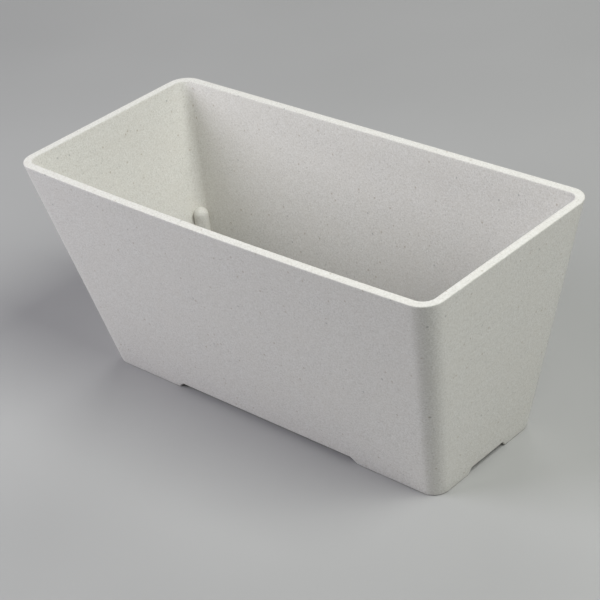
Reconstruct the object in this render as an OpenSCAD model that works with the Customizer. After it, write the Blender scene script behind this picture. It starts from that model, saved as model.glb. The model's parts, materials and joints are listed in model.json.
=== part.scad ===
// Rectangular self watering planter: a tapered tub on four corner feet, with a lift-out
// reservoir platform, two wicking baskets, a fill tube, a float gauge, an overflow pipe
// and a drain plug. Millimetres, +Z up, origin at the centre of the base.

/* [Tub] */
// Length over the rim
rim_length = 430; // [420:1:440]
// Width over the rim, without the crown of the front wall
rim_width = 195; // [188:1:202]
// Height from the feet to the rim
tub_height = 197; // [190:1:205]
// Length over the base
base_length = 355; // [350:1:362]
// Width over the base
base_width = 121; // [118:1:128]
// Corner radius in plan, at the rim
rim_radius = 17.5; // [14:0.5:22]
// Corner radius in plan, at the base
base_radius = 13.5; // [11:0.5:15]
// How far the front wall bows out at the middle of the rim
front_crown = 3.5; // [0.5:0.5:4]
// Wall thickness at the rim
rim_wall = 7.5; // [6.5:0.5:8.5]
// Wall thickness at the floor
base_wall = 6; // [5:0.5:7]

/* [Floor and feet] */
// Height of the feet below the floor
foot_height = 5; // [4:0.5:6]
// Floor thickness
floor_thickness = 5.5; // [4.5:0.5:6.5]
// Length of the gap between the feet, along the long sides
gap_length = 191; // [170:1:200]
// Width of the gap between the feet, along the short sides
gap_width = 43; // [36:1:48]

/* [Stacking lugs] */
// Height of the lug tops above the feet
lug_height = 90; // [80:1:94]
// Radius of a lug
lug_radius = 6.5; // [5.5:0.5:7]

/* [Reservoir] */
// Highest water level above the floor
water_depth = 29.5; // [26:0.5:30]
// Height of the platform's top above the feet
deck_top = 55; // [54:0.5:57]
// Thickness of the platform's plate
deck_thickness = 3; // [2.5:0.5:3.5]

/* [Wicking baskets] */
// Distance of each basket from the middle
basket_offset = 88; // [80:1:92]
// Outer radius of a basket under its flange
basket_radius = 26.5; // [24:0.5:28]

/* [Fill tube and gauge] */
// Outer radius of the fill tube
fill_radius = 13; // [12:0.5:13.5]
// Height of the fill tube's funnel rim
fill_top = 138; // [128:1:140]
// Outer radius of the gauge tube
gauge_radius = 8; // [7.5:0.5:8.5]
// Travel of the float from empty to full
float_travel = 20; // [16:1:21]

/* [Hidden] */

// Overlap used where a cutter or a joined solid must pass through a face
eps = 0.5;
// Thickness of the slabs that a tapered solid is drawn between
slab = 0.01;
$fn = 64;

floor_top = foot_height + floor_thickness;
water_level = floor_top + water_depth;
slope_x = (rim_length - base_length) / 2 / tub_height;
slope_y = (rim_width - base_width) / 2 / tub_height;

// Horizontal wall thickness at height z
function wall_at(z) = base_wall + (rim_wall - base_wall) * z / tub_height;
// Half length and half width of the cavity at height z
function cavity_x(z) = base_length / 2 + slope_x * z - wall_at(z);
function cavity_y(z) = base_width / 2 + slope_y * z - wall_at(z);
// Plan radius of the outer corners at height z
function corner_at(z) = base_radius + (rim_radius - base_radius) * z / tub_height;

// Points of a rounded rectangle whose front side bows out by crown
function arc_points(cx, cy, r, from, steps) =
    [for (i = [0 : steps]) [cx + r * cos(from + 90 * i / steps), cy + r * sin(from + 90 * i / steps)]];
function crown_points(half_x, half_y, crown, steps) =
    [for (i = [1 : steps - 1])
        let (t = i / steps)
        [-half_x + 2 * half_x * t, -half_y - crown * 4 * t * (1 - t)]];
function outline(half_x, half_y, r, crown) = concat(
    arc_points(half_x - r, half_y - r, r, 0, 8),
    arc_points(-half_x + r, half_y - r, r, 90, 8),
    arc_points(-half_x + r, -half_y + r, r, 180, 8),
    crown_points(half_x - r, half_y, crown, 12),
    arc_points(half_x - r, -half_y + r, r, 270, 8)
);

// Stacking lugs, tangent to both cavity walls at the height where their domes begin
lug_shoulder = lug_height - lug_radius;
lug_x = cavity_x(lug_shoulder) - lug_radius;
lug_y = cavity_y(lug_shoulder) - lug_radius;

// Holes in the floor
drain_x = -30;
drain_hole_radius = 7.1;
plug_shank_radius = 7;
plug_head_radius = 12;
gasket_thickness = 1.5;
overflow_x = 30;
grommet_hole_radius = 10;
overflow_radius = 8;

// Platform
deck_bottom = deck_top - deck_thickness;
skirt_drop = 5;
skirt_wall = 2;
deck_gap = 0.8;
deck_half_x = cavity_x(deck_bottom - skirt_drop) - deck_gap;
deck_half_y = cavity_y(deck_bottom - skirt_drop) - deck_gap;
deck_corner = 8;
lug_notch = lug_radius + 1;
leg_columns = [-132, 0, 132];
leg_row = 40;
leg_top_radius = 9;
leg_foot_radius = 6;
leg_wall = 1.8;
slot_width = 3;
slot_length = 12;
slot_pitch_x = 12;
slot_pitch_y = 18;

// Wicking baskets
basket_floor = floor_top + 2.5;
basket_foot_radius = 20;
basket_wall = 1.8;
basket_hole_radius = basket_radius + 1;
flange_thickness = 2;
flange_radius = basket_radius + 5;

// Fill tube, beside the front right corner
fill_x = 161;
fill_y = -44;
fill_bore = fill_radius - 1.6;
fill_socket_height = 9;
fill_socket_radius = fill_radius + 2.5;
socket_gap = 0.3;
fill_bottom = deck_bottom - 8;
funnel_seat = fill_top - 9;
funnel_radius = fill_radius + 4.6;
funnel_bore = fill_radius + 3;
hinge_arm = funnel_radius + 3.2;
hinge_pin_radius = 1.25;
hinge_knuckle_radius = 2.8;
hinge_z = fill_top + 1.3;
ear_width = 3;
knuckle_width = 9;
ear_centre = knuckle_width / 2 + 0.3 + ear_width / 2;
pin_clearance = 0.05;
lid_thickness = 2.2;
lid_gap = 0.2;

// Float gauge
gauge_x = 158;
gauge_y = 16;
gauge_bore = gauge_radius - 1.4;
gauge_top = 131;
gauge_socket_radius = gauge_radius + 2.2;
gauge_socket_height = 8;
gauge_socket_bore = gauge_radius + 0.2;
cage_bore = 12.7;
cage_radius = 14.2;
cage_bottom = floor_top + 1.5;
cage_lip = 1.2;
float_radius = 12;
float_height = 14;
float_bottom = cage_bottom + cage_lip + 0.2;
rod_radius = 1.5;
rod_hole_radius = 2.3;
tip_bottom = 94;
tip_height = 8;

// ---------------------------------------------------------------- shared shapes

// A straight taper between two crowned, rounded rectangles
module taper(z0, half0, r0, crown0, z1, half1, r1, crown1) {
    hull() {
        translate([0, 0, z0]) linear_extrude(slab)
            polygon(outline(half0[0], half0[1], r0, crown0));
        translate([0, 0, z1 - slab]) linear_extrude(slab)
            polygon(outline(half1[0], half1[1], r1, crown1));
    }
}

module rounded_plate(half_x, half_y, r, height) {
    linear_extrude(height) {
        square([2 * (half_x - r), 2 * half_y], center = true);
        square([2 * half_x, 2 * (half_y - r)], center = true);
        for (sx = [-1, 1], sy = [-1, 1])
            translate([sx * (half_x - r), sy * (half_y - r)]) circle(r);
    }
}

// A ring standing on height z
module ring(z, height, outer, bore) {
    translate([0, 0, z]) difference() {
        cylinder(h = height, r = outer);
        translate([0, 0, -eps]) cylinder(h = height + 2 * eps, r = bore);
    }
}

// Radial slots through a round wall, from radius start to radius reach
module radial_slots(count, start, z, height, width, reach) {
    for (i = [0 : count - 1])
        rotate([0, 0, 360 / count * i]) translate([start, -width / 2, z])
            cube([reach - start, width, height]);
}

// ---------------------------------------------------------------- tub

module tub_envelope() {
    taper(0, [base_length / 2, base_width / 2], base_radius, 0,
        tub_height, [rim_length / 2, rim_width / 2], rim_radius, front_crown);
}

module tub_cavity() {
    top = tub_height + 1;
    taper(floor_top, [cavity_x(floor_top), cavity_y(floor_top)],
        corner_at(floor_top) - wall_at(floor_top), front_crown * floor_top / tub_height,
        top, [cavity_x(top), cavity_y(top)], corner_at(top) - wall_at(top), front_crown);
}

module stacking_lugs() {
    for (sx = [-1, 1], sy = [-1, 1])
        translate([sx * lug_x, sy * lug_y, floor_top - eps]) {
            cylinder(h = lug_shoulder - floor_top + eps, r = lug_radius);
            translate([0, 0, lug_shoulder - floor_top + eps]) sphere(r = lug_radius);
        }
}

module foot_gaps() {
    translate([-gap_length / 2, -rim_width / 2, -eps])
        cube([gap_length, rim_width, foot_height + eps]);
    translate([-rim_length / 2, -gap_width / 2, -eps])
        cube([rim_length, gap_width, foot_height + eps]);
}

module tub() {
    color([0.84, 0.83, 0.79]) difference() {
        union() {
            difference() {
                tub_envelope();
                tub_cavity();
            }
            intersection() {
                tub_envelope();
                stacking_lugs();
            }
        }
        foot_gaps();
        translate([drain_x, 0, 0]) cylinder(h = floor_top + eps, r = drain_hole_radius);
        translate([overflow_x, 0, 0]) cylinder(h = floor_top + eps, r = grommet_hole_radius);
    }
}

// ---------------------------------------------------------------- overflow

module overflow_grommet() {
    flange = 2.5;
    lip = 1.8;
    color([0.12, 0.12, 0.12]) translate([overflow_x, 0, 0]) {
        ring(floor_top, lip, grommet_hole_radius + flange, overflow_radius);
        ring(foot_height, floor_thickness, grommet_hole_radius, overflow_radius);
        ring(foot_height - lip, lip, grommet_hole_radius + flange / 2, overflow_radius);
    }
}

module overflow_pipe() {
    pipe_wall = 1.5;
    bead = 1.4;
    outlet = 1.5;
    color([0.25, 0.26, 0.27]) translate([overflow_x, 0, 0]) {
        ring(outlet, water_level - outlet, overflow_radius, overflow_radius - pipe_wall);
        ring(floor_top + 1.8, bead, overflow_radius + bead, overflow_radius - pipe_wall / 2);
    }
}

module overflow_screen() {
    shell = 1.5;
    cage_height = 5;
    grip = 6;
    outer = overflow_radius + shell;
    inner = overflow_radius - shell;
    cage_top = water_level + cage_height;
    color([0.25, 0.26, 0.27]) translate([overflow_x, 0, 0]) difference() {
        rotate_extrude() polygon([
            [overflow_radius, water_level - grip],
            [outer, water_level - grip],
            [outer, cage_top + shell],
            [0, cage_top + shell],
            [0, cage_top],
            [inner, cage_top],
            [inner, water_level],
            [overflow_radius, water_level]
        ]);
        radial_slots(10, inner - 1, water_level + 0.8, cage_height - 1.6, 1.6, outer + 1);
    }
}

// ---------------------------------------------------------------- drain plug

module drain_plug() {
    head_bottom = floor_top + gasket_thickness;
    head_height = 3;
    shank_end = 3;
    loop_radius = 5;
    loop_wire = 1.5;
    color([0.16, 0.17, 0.18]) translate([drain_x, 0, 0]) {
        translate([0, 0, shank_end])
            cylinder(h = head_bottom - shank_end, r = plug_shank_radius);
        translate([0, 0, head_bottom]) cylinder(h = head_height, r = plug_head_radius);
        translate([0, 0, head_bottom + head_height - loop_wire / 2]) rotate([90, 0, 0])
            rotate_extrude(angle = 180) translate([loop_radius, 0]) circle(loop_wire);
    }
}

module plug_gasket() {
    color([0.09, 0.09, 0.09]) translate([drain_x, 0, 0])
        ring(floor_top, gasket_thickness, plug_head_radius - 0.5, plug_shank_radius);
}

// ---------------------------------------------------------------- platform

function clear_of(p, q, reach) = norm([p[0] - q[0], p[1] - q[1]]) > reach;
function slot_fits(p) =
    clear_of(p, [-basket_offset, 0], basket_hole_radius + 10)
    && clear_of(p, [basket_offset, 0], basket_hole_radius + 10)
    && clear_of(p, [fill_x, fill_y], fill_socket_radius + 8)
    && clear_of(p, [gauge_x, gauge_y], cage_radius + 8)
    && min([for (x = leg_columns, s = [-1, 1]) norm([p[0] - x, p[1] - s * leg_row])])
        > leg_top_radius + 8;

slot_columns = 14;
slot_rows = 2;
deck_slots = [
    for (i = [-slot_columns : slot_columns], j = [-slot_rows : slot_rows])
        let (p = [i * slot_pitch_x, j * slot_pitch_y])
        if (slot_fits(p) && abs(p[1]) < deck_half_y - 10) p
];

module leg_body() {
    translate([0, 0, floor_top])
        cylinder(h = deck_top - floor_top, r1 = leg_foot_radius, r2 = leg_top_radius);
}

module leg_well() {
    translate([0, 0, floor_top + leg_wall])
        cylinder(h = deck_top - floor_top - leg_wall + slab,
            r1 = leg_foot_radius - leg_wall, r2 = leg_top_radius - leg_wall);
}

module each_leg() {
    for (x = leg_columns, s = [-1, 1]) translate([x, s * leg_row, 0]) children();
}

module reservoir_platform() {
    collar_drop = 4;
    collar_wall = 2;
    color([0.19, 0.2, 0.2]) difference() {
        union() {
            translate([0, 0, deck_bottom])
                rounded_plate(deck_half_x, deck_half_y, deck_corner, deck_thickness);
            translate([0, 0, deck_bottom - skirt_drop]) difference() {
                rounded_plate(deck_half_x, deck_half_y, deck_corner, skirt_drop);
                translate([0, 0, -eps]) rounded_plate(deck_half_x - skirt_wall,
                    deck_half_y - skirt_wall, deck_corner - skirt_wall, skirt_drop + eps);
            }
            each_leg() leg_body();
            for (s = [-1, 1]) translate([s * basket_offset, 0, 0])
                ring(deck_bottom - collar_drop, collar_drop,
                    basket_hole_radius + collar_wall, basket_hole_radius);
            translate([fill_x, fill_y, 0])
                ring(deck_bottom, deck_thickness + fill_socket_height,
                    fill_socket_radius, fill_radius + socket_gap);
            translate([gauge_x, gauge_y, 0])
                ring(deck_top, gauge_socket_height, gauge_socket_radius, gauge_socket_bore);
        }
        each_leg() leg_well();
        for (s = [-1, 1]) translate([s * basket_offset, 0, deck_bottom - eps])
            cylinder(h = deck_thickness + 2 * eps, r = basket_hole_radius);
        translate([fill_x, fill_y, deck_bottom - eps])
            cylinder(h = deck_thickness + 2 * eps, r = fill_radius + socket_gap);
        translate([gauge_x, gauge_y, deck_bottom - eps])
            cylinder(h = deck_thickness + 2 * eps, r = rod_hole_radius);
        for (sx = [-1, 1], sy = [-1, 1])
            translate([sx * lug_x, sy * lug_y, deck_bottom - skirt_drop - eps])
                cylinder(h = skirt_drop + deck_thickness + 2 * eps, r = lug_notch);
        for (p = deck_slots)
            translate([p[0] - slot_width / 2, p[1] - slot_length / 2, deck_bottom - eps])
                cube([slot_width, slot_length, deck_thickness + 2 * eps]);
    }
}

// ---------------------------------------------------------------- wicking baskets

module wicking_basket(x) {
    height = deck_top + flange_thickness - basket_floor;
    window_bottom = basket_floor + 5;
    window_height = 26;
    color([0.22, 0.23, 0.23]) translate([x, 0, 0]) difference() {
        union() {
            translate([0, 0, basket_floor])
                cylinder(h = height, r1 = basket_foot_radius, r2 = basket_radius);
            translate([0, 0, deck_top]) cylinder(h = flange_thickness, r = flange_radius);
        }
        translate([0, 0, basket_floor + basket_wall])
            cylinder(h = height - basket_wall + slab,
                r1 = basket_foot_radius - basket_wall, r2 = basket_radius - basket_wall);
        radial_slots(16, basket_foot_radius - 5, window_bottom, window_height, 2.6, basket_radius + 2);
        for (i = [0 : 5]) rotate([0, 0, 60 * i]) translate([11, 0, basket_floor - eps])
            cylinder(h = basket_wall + 2 * eps, r = 2.5);
        translate([0, 0, basket_floor - eps]) cylinder(h = basket_wall + 2 * eps, r = 2.5);
    }
}

// ---------------------------------------------------------------- fill tube

module fill_tube() {
    stop_thickness = 2.5;
    color([0.19, 0.2, 0.2]) translate([fill_x, fill_y, 0]) {
        ring(fill_bottom, funnel_seat - fill_bottom, fill_radius, fill_bore);
        ring(deck_top + fill_socket_height, stop_thickness, fill_socket_radius,
            (fill_radius + fill_bore) / 2);
    }
}

// Round plate of a hinge ear or knuckle, centred on the pin and lying along Y
module hinge_eye(width) {
    translate([hinge_arm, width / 2, hinge_z]) rotate([90, 0, 0])
        cylinder(h = width, r = hinge_knuckle_radius);
}

module hinge_bore(radius, width) {
    translate([hinge_arm, width / 2, hinge_z]) rotate([90, 0, 0])
        cylinder(h = width, r = radius);
}

module fill_funnel() {
    sleeve = 10;
    sleeve_wall = 2;
    ear_root = funnel_seat + 2;
    ear_inset = funnel_radius - 1.2;
    color([0.19, 0.2, 0.2]) translate([fill_x, fill_y, 0]) difference() {
        union() {
            rotate_extrude() polygon([
                [fill_radius, funnel_seat - sleeve],
                [fill_radius + sleeve_wall, funnel_seat - sleeve],
                [fill_radius + sleeve_wall, funnel_seat - 2],
                [funnel_radius, funnel_seat + 4],
                [funnel_radius, fill_top],
                [funnel_bore, fill_top],
                [funnel_bore, funnel_seat + 5],
                [fill_bore, funnel_seat],
                [fill_radius, funnel_seat]
            ]);
            for (s = [-1, 1]) translate([0, s * ear_centre, 0]) {
                hinge_eye(ear_width);
                translate([ear_inset, -ear_width / 2, ear_root])
                    cube([hinge_arm + hinge_knuckle_radius - ear_inset, ear_width,
                        fill_top - ear_root]);
            }
        }
        hinge_bore(hinge_pin_radius, 3 * ear_centre);
    }
}

module fill_lid() {
    lid_bottom = fill_top + lid_gap;
    skirt_height = 2;
    skirt_radius = funnel_bore - 0.6;
    tab_length = 6;
    tab_width = 12;
    color([0.19, 0.2, 0.2]) translate([fill_x, fill_y, 0]) difference() {
        union() {
            translate([0, 0, lid_bottom]) cylinder(h = lid_thickness, r = funnel_radius);
            ring(lid_bottom - skirt_height, skirt_height + slab, skirt_radius, skirt_radius - 1.2);
            translate([-funnel_radius - tab_length, -tab_width / 2, lid_bottom])
                cube([tab_length + 4, tab_width, lid_thickness]);
            hinge_eye(knuckle_width);
            translate([funnel_radius - 3, -knuckle_width / 2, lid_bottom])
                cube([hinge_arm - funnel_radius + 3, knuckle_width, lid_thickness]);
        }
        hinge_bore(hinge_pin_radius + pin_clearance, 3 * ear_centre);
    }
}

module lid_hinge_pin() {
    pin_length = 2 * (ear_centre + ear_width / 2) + 1;
    head = 0.8;
    color([0.75, 0.75, 0.76]) translate([fill_x + hinge_arm, fill_y, hinge_z])
        rotate([90, 0, 0]) {
            translate([0, 0, -pin_length / 2]) cylinder(h = pin_length, r = hinge_pin_radius);
            for (s = [-1, 1]) translate([0, 0, s * (pin_length / 2) - head / 2])
                cylinder(h = head, r = hinge_pin_radius + 0.7);
        }
}

// ---------------------------------------------------------------- float gauge

module float_cage() {
    color([0.22, 0.23, 0.23]) translate([gauge_x, gauge_y, 0]) difference() {
        union() {
            ring(cage_bottom, deck_bottom - cage_bottom, cage_radius, cage_bore);
            ring(cage_bottom, cage_lip, cage_bore + eps, cage_bore - 3);
        }
        radial_slots(6, cage_bore - 2, cage_bottom + 4, 26, 6, cage_radius + 2);
    }
}

module gauge_tube() {
    band = 1.2;
    color([0.8, 0.87, 0.87, 0.4]) translate([gauge_x, gauge_y, 0]) {
        ring(deck_top, gauge_top - deck_top, gauge_radius, gauge_bore);
        for (z = [tip_bottom + tip_height / 2, tip_bottom + tip_height / 2 + float_travel])
            ring(z - band / 2, band, gauge_radius + 0.6, gauge_radius - 0.5);
    }
}

module gauge_cap() {
    skirt = 5;
    wall = 1.6;
    crown = 3;
    color([0.19, 0.2, 0.2]) translate([gauge_x, gauge_y, 0]) difference() {
        union() {
            ring(gauge_top - skirt, skirt, gauge_radius + wall, gauge_radius + 0.1);
            translate([0, 0, gauge_top]) cylinder(h = crown, r = gauge_radius + wall);
            translate([0, 0, gauge_top + crown])
                cylinder(h = 1.5, r1 = gauge_radius + wall, r2 = gauge_radius + wall - 2);
        }
        for (i = [0 : 11]) rotate([0, 0, 30 * i])
            translate([gauge_radius + wall + 0.3, 0, gauge_top - skirt - eps])
                cylinder(h = skirt + crown, r = 0.9, $fn = 24);
    }
}

module float_body() {
    chamfer = 2;
    color([0.86, 0.36, 0.1]) translate([gauge_x, gauge_y, float_bottom]) rotate_extrude()
        polygon([
            [rod_radius, 0],
            [float_radius - chamfer, 0],
            [float_radius, chamfer],
            [float_radius, float_height - chamfer],
            [float_radius - chamfer, float_height],
            [rod_radius, float_height]
        ]);
}

module float_rod() {
    color([0.88, 0.88, 0.86]) translate([gauge_x, gauge_y, float_bottom + 1])
        cylinder(h = tip_bottom + 5 - float_bottom - 1, r = rod_radius);
}

module indicator_tip() {
    tip_radius = gauge_bore - 0.8;
    color([0.8, 0.12, 0.1]) translate([gauge_x, gauge_y, tip_bottom]) rotate_extrude()
        polygon([
            [rod_radius, 0],
            [tip_radius - 1, 0],
            [tip_radius, 1],
            [tip_radius, tip_height - 2],
            [tip_radius - 2, tip_height],
            [0, tip_height],
            [0, 5],
            [rod_radius, 5]
        ]);
}

tub();
overflow_grommet();
overflow_pipe();
overflow_screen();
drain_plug();
plug_gasket();
reservoir_platform();
wicking_basket(-basket_offset);  // wicking_basket_left
wicking_basket(basket_offset);  // wicking_basket_right
float_cage();
fill_tube();
fill_funnel();
fill_lid();
lid_hinge_pin();
gauge_tube();
gauge_cap();
float_body();
float_rod();
indicator_tip();
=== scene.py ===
"""Looks of the self watering planter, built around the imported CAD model."""

import json
import math

import bmesh
import bpy
from mathutils import Matrix, Vector
from mathutils.geometry import delaunay_2d_cdt

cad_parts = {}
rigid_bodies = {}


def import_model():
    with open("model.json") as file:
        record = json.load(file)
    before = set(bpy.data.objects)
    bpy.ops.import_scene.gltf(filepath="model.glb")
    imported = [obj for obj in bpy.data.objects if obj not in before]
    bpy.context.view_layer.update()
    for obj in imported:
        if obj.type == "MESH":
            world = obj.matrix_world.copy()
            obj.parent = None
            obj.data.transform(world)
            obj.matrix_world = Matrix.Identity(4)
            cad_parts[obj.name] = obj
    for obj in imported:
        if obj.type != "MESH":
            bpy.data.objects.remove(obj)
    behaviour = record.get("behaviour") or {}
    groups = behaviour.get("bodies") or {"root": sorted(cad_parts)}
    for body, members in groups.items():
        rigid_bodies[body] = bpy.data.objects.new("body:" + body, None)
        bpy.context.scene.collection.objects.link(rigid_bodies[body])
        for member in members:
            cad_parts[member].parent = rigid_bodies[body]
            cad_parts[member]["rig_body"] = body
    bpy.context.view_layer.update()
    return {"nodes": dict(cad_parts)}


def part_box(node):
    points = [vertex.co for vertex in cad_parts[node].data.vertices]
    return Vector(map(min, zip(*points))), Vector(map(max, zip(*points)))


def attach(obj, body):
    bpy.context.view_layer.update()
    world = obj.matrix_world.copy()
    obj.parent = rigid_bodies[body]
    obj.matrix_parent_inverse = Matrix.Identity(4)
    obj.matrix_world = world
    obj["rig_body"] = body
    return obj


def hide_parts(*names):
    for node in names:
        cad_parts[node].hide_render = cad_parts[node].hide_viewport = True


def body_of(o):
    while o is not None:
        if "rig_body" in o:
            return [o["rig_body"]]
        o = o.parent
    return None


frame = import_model()

MM = 0.001
TAU = 2 * math.pi

# ------------------------------------------------------------------ camera

# The viewing angle and distance, and the frame's tilt
VIEW_AZIMUTH = math.radians(45.69)
VIEW_ELEVATION = math.radians(30.77)
VIEW_ROLL = math.radians(-7.02)
VIEW_DISTANCE = 1.436
VIEW_TARGET = Vector((0.0122, -0.0165, 0.0985))
LENS = 109.18
SENSOR = 36.0


def make_camera():
    data = bpy.data.cameras.new("camera")
    data.lens = LENS
    data.sensor_width = SENSOR
    data.clip_start = 0.05
    data.clip_end = 50
    camera = bpy.data.objects.new("camera", data)
    bpy.context.scene.collection.objects.link(camera)
    level = math.cos(VIEW_ELEVATION)
    back = Vector((
        math.sin(VIEW_AZIMUTH) * level,
        -math.cos(VIEW_AZIMUTH) * level,
        math.sin(VIEW_ELEVATION),
    ))
    turn = (-back).to_track_quat("-Z", "Y").to_matrix() @ Matrix.Rotation(VIEW_ROLL, 3, "Z")
    camera.matrix_world = Matrix.Translation(VIEW_TARGET + back * VIEW_DISTANCE) @ turn.to_4x4()
    bpy.context.scene.camera = camera


# ------------------------------------------------------------------ small helpers


def new_object(name, bm):
    mesh = bpy.data.meshes.new(name)
    bm.normal_update()
    bm.to_mesh(mesh)
    bm.free()
    obj = bpy.data.objects.new(name, mesh)
    bpy.context.scene.collection.objects.link(obj)
    return obj


def apply_modifiers(obj):
    """Replaces the object's mesh by what its modifiers make of it."""
    graph = bpy.context.evaluated_depsgraph_get()
    mesh = bpy.data.meshes.new_from_object(obj.evaluated_get(graph))
    obj.modifiers.clear()
    obj.data = mesh


def smooth(obj, angle=30):
    """Smooth shading, with creases kept where faces meet at more than the angle."""
    for face in obj.data.polygons:
        face.use_smooth = True
    obj.data.set_sharp_from_angle(angle=math.radians(angle))


def boolean(obj, other, operation):
    cut = obj.modifiers.new("cut", "BOOLEAN")
    cut.object = other
    cut.operation = operation
    cut.solver = "EXACT"
    apply_modifiers(obj)
    bpy.data.objects.remove(other)


def smoothstep(low, high, value):
    t = min(1.0, max(0.0, (value - low) / (high - low)))
    return t * t * (3 - 2 * t)


# ------------------------------------------------------------------ materials


class Nodes:
    """A short way to write a node tree for one material."""

    def __init__(self, name):
        self.material = bpy.data.materials.new(name)
        self.material.use_nodes = True
        self.tree = self.material.node_tree
        self.shader = self.tree.nodes["Principled BSDF"]
        self.place = self.tree.nodes.new("ShaderNodeTexCoord").outputs["Object"]

    def link(self, source, target):
        self.tree.links.new(source, target)

    def noise(self, scale, detail=2.0, roughness=0.5, stretch=None):
        node = self.tree.nodes.new("ShaderNodeTexNoise")
        node.inputs["Scale"].default_value = scale
        node.inputs["Detail"].default_value = detail
        node.inputs["Roughness"].default_value = roughness
        place = self.place
        if stretch:
            mapping = self.tree.nodes.new("ShaderNodeMapping")
            mapping.inputs["Scale"].default_value = stretch
            self.link(self.place, mapping.inputs["Vector"])
            place = mapping.outputs["Vector"]
        self.link(place, node.inputs["Vector"])
        return node.outputs["Fac"]

    def cells(self, scale):
        """Distance to the middle of each cell, and the cell's own random colour."""
        node = self.tree.nodes.new("ShaderNodeTexVoronoi")
        node.inputs["Scale"].default_value = scale
        self.link(self.place, node.inputs["Vector"])
        return node.outputs["Distance"], node.outputs["Color"]

    def channel(self, colour, index):
        node = self.tree.nodes.new("ShaderNodeSeparateColor")
        self.link(colour, node.inputs["Color"])
        return node.outputs[index]

    def remap(self, value, from_low, from_high, to_low=0.0, to_high=1.0):
        node = self.tree.nodes.new("ShaderNodeMapRange")
        node.inputs["From Min"].default_value = from_low
        node.inputs["From Max"].default_value = from_high
        node.inputs["To Min"].default_value = to_low
        node.inputs["To Max"].default_value = to_high
        self.link(value, node.inputs["Value"])
        return node.outputs["Result"]

    def math(self, operation, first, second):
        node = self.tree.nodes.new("ShaderNodeMath")
        node.operation = operation
        for socket, value in zip(node.inputs, (first, second)):
            if isinstance(value, (int, float)):
                socket.default_value = value
            else:
                self.link(value, socket)
        return node.outputs["Value"]

    def mix(self, factor, first, second):
        node = self.tree.nodes.new("ShaderNodeMix")
        node.data_type = "RGBA"
        self.link(factor, node.inputs["Factor"])
        for socket, value in ((node.inputs["A"], first), (node.inputs["B"], second)):
            if isinstance(value, tuple):
                socket.default_value = (*value, 1)
            else:
                self.link(value, socket)
        return node.outputs["Result"]

    def bump(self, height, strength, distance):
        node = self.tree.nodes.new("ShaderNodeBump")
        node.inputs["Strength"].default_value = strength
        node.inputs["Distance"].default_value = distance
        self.link(height, node.inputs["Height"])
        self.link(node.outputs["Normal"], self.shader.inputs["Normal"])

    def set(self, **values):
        for name, value in values.items():
            self.shader.inputs[name.replace("_", " ")].default_value = value


def stone_resin():
    """Ivory stone-filled resin: mottled fine grain, a few tan and grey specks, a dry skin."""
    n = Nodes("stone_resin")
    ivory = (0.885, 0.873, 0.842)
    cream = (0.725, 0.71, 0.67)
    sand = (0.81, 0.785, 0.735)
    tan = (0.47, 0.41, 0.33)
    grey = (0.42, 0.415, 0.40)
    white = (0.93, 0.925, 0.90)

    grain = n.remap(n.noise(760, 3.0, 0.7), 0.36, 0.64)
    colour = n.mix(grain, cream, ivory)
    cloud = n.remap(n.noise(36, 3.0), 0.35, 0.65, 0.0, 0.3)
    colour = n.mix(cloud, colour, sand)

    def specks(colour, scale, share, size, tint, strength):
        distance, cell = n.cells(scale)
        chosen = n.math("LESS_THAN", n.channel(cell, 0), share)
        body = n.remap(distance, size, size * 0.5, 0.0, strength)
        return n.mix(n.math("MULTIPLY", chosen, body), colour, tint)

    colour = specks(colour, 640, 0.35, 0.45, white, 0.6)
    colour = specks(colour, 560, 0.14, 0.42, tan, 0.24)
    colour = specks(colour, 470, 0.10, 0.40, grey, 0.26)
    colour = specks(colour, 240, 0.05, 0.27, tan, 0.55)
    colour = specks(colour, 170, 0.035, 0.2, grey, 0.6)
    n.link(colour, n.shader.inputs["Base Color"])

    n.link(n.remap(n.noise(900, 2.0), 0.3, 0.7, 0.66, 0.86), n.shader.inputs["Roughness"])
    n.set(Specular_IOR_Level=0.3)
    pits = n.math("ADD", n.noise(1900, 2.0, 0.6), n.math("MULTIPLY", n.noise(520, 2.0), 1.6))
    n.bump(pits, 0.4, 0.00028)
    return n.material


def moulded_plastic(name, dark, light, roughness, grain=1400, depth=0.00006):
    """Injection-moulded plastic with a fine spark-eroded grain and faint flow clouds."""
    n = Nodes(name)
    cloud = n.remap(n.noise(55, 3.0), 0.3, 0.7)
    colour = n.mix(cloud, dark, light)
    dust = n.remap(n.noise(700, 4.0, 0.7), 0.55, 0.8, 0.0, 0.25)
    colour = n.mix(dust, colour, tuple(min(1.0, c * 1.8 + 0.02) for c in light))
    n.link(colour, n.shader.inputs["Base Color"])
    rough = n.remap(n.noise(230, 3.0), 0.3, 0.7, roughness - 0.08, roughness + 0.08)
    n.link(rough, n.shader.inputs["Roughness"])
    n.bump(n.noise(grain, 2.0, 0.6), 0.5, depth)
    return n.material


def clear_plastic():
    n = Nodes("clear_plastic")
    tint = n.mix(n.remap(n.noise(60, 2.0), 0.3, 0.7), (0.80, 0.90, 0.88), (0.88, 0.95, 0.93))
    n.link(tint, n.shader.inputs["Base Color"])
    rough = n.remap(n.noise(260, 3.0), 0.3, 0.7, 0.03, 0.12)
    n.link(rough, n.shader.inputs["Roughness"])
    n.set(Transmission_Weight=0.92, IOR=1.47)
    n.bump(n.noise(300, 1.0), 0.15, 0.00004)
    return n.material


def steel():
    n = Nodes("pin_steel")
    brushed = n.noise(900, 2.0, 0.5, stretch=(1, 0.05, 1))
    colour = n.mix(n.remap(brushed, 0.3, 0.7), (0.50, 0.50, 0.51), (0.68, 0.68, 0.69))
    n.link(colour, n.shader.inputs["Base Color"])
    n.link(n.remap(brushed, 0.3, 0.7, 0.22, 0.42), n.shader.inputs["Roughness"])
    n.set(Metallic=1.0)
    n.bump(brushed, 0.2, 0.00003)
    return n.material


# ------------------------------------------------------------------ tub

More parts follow.
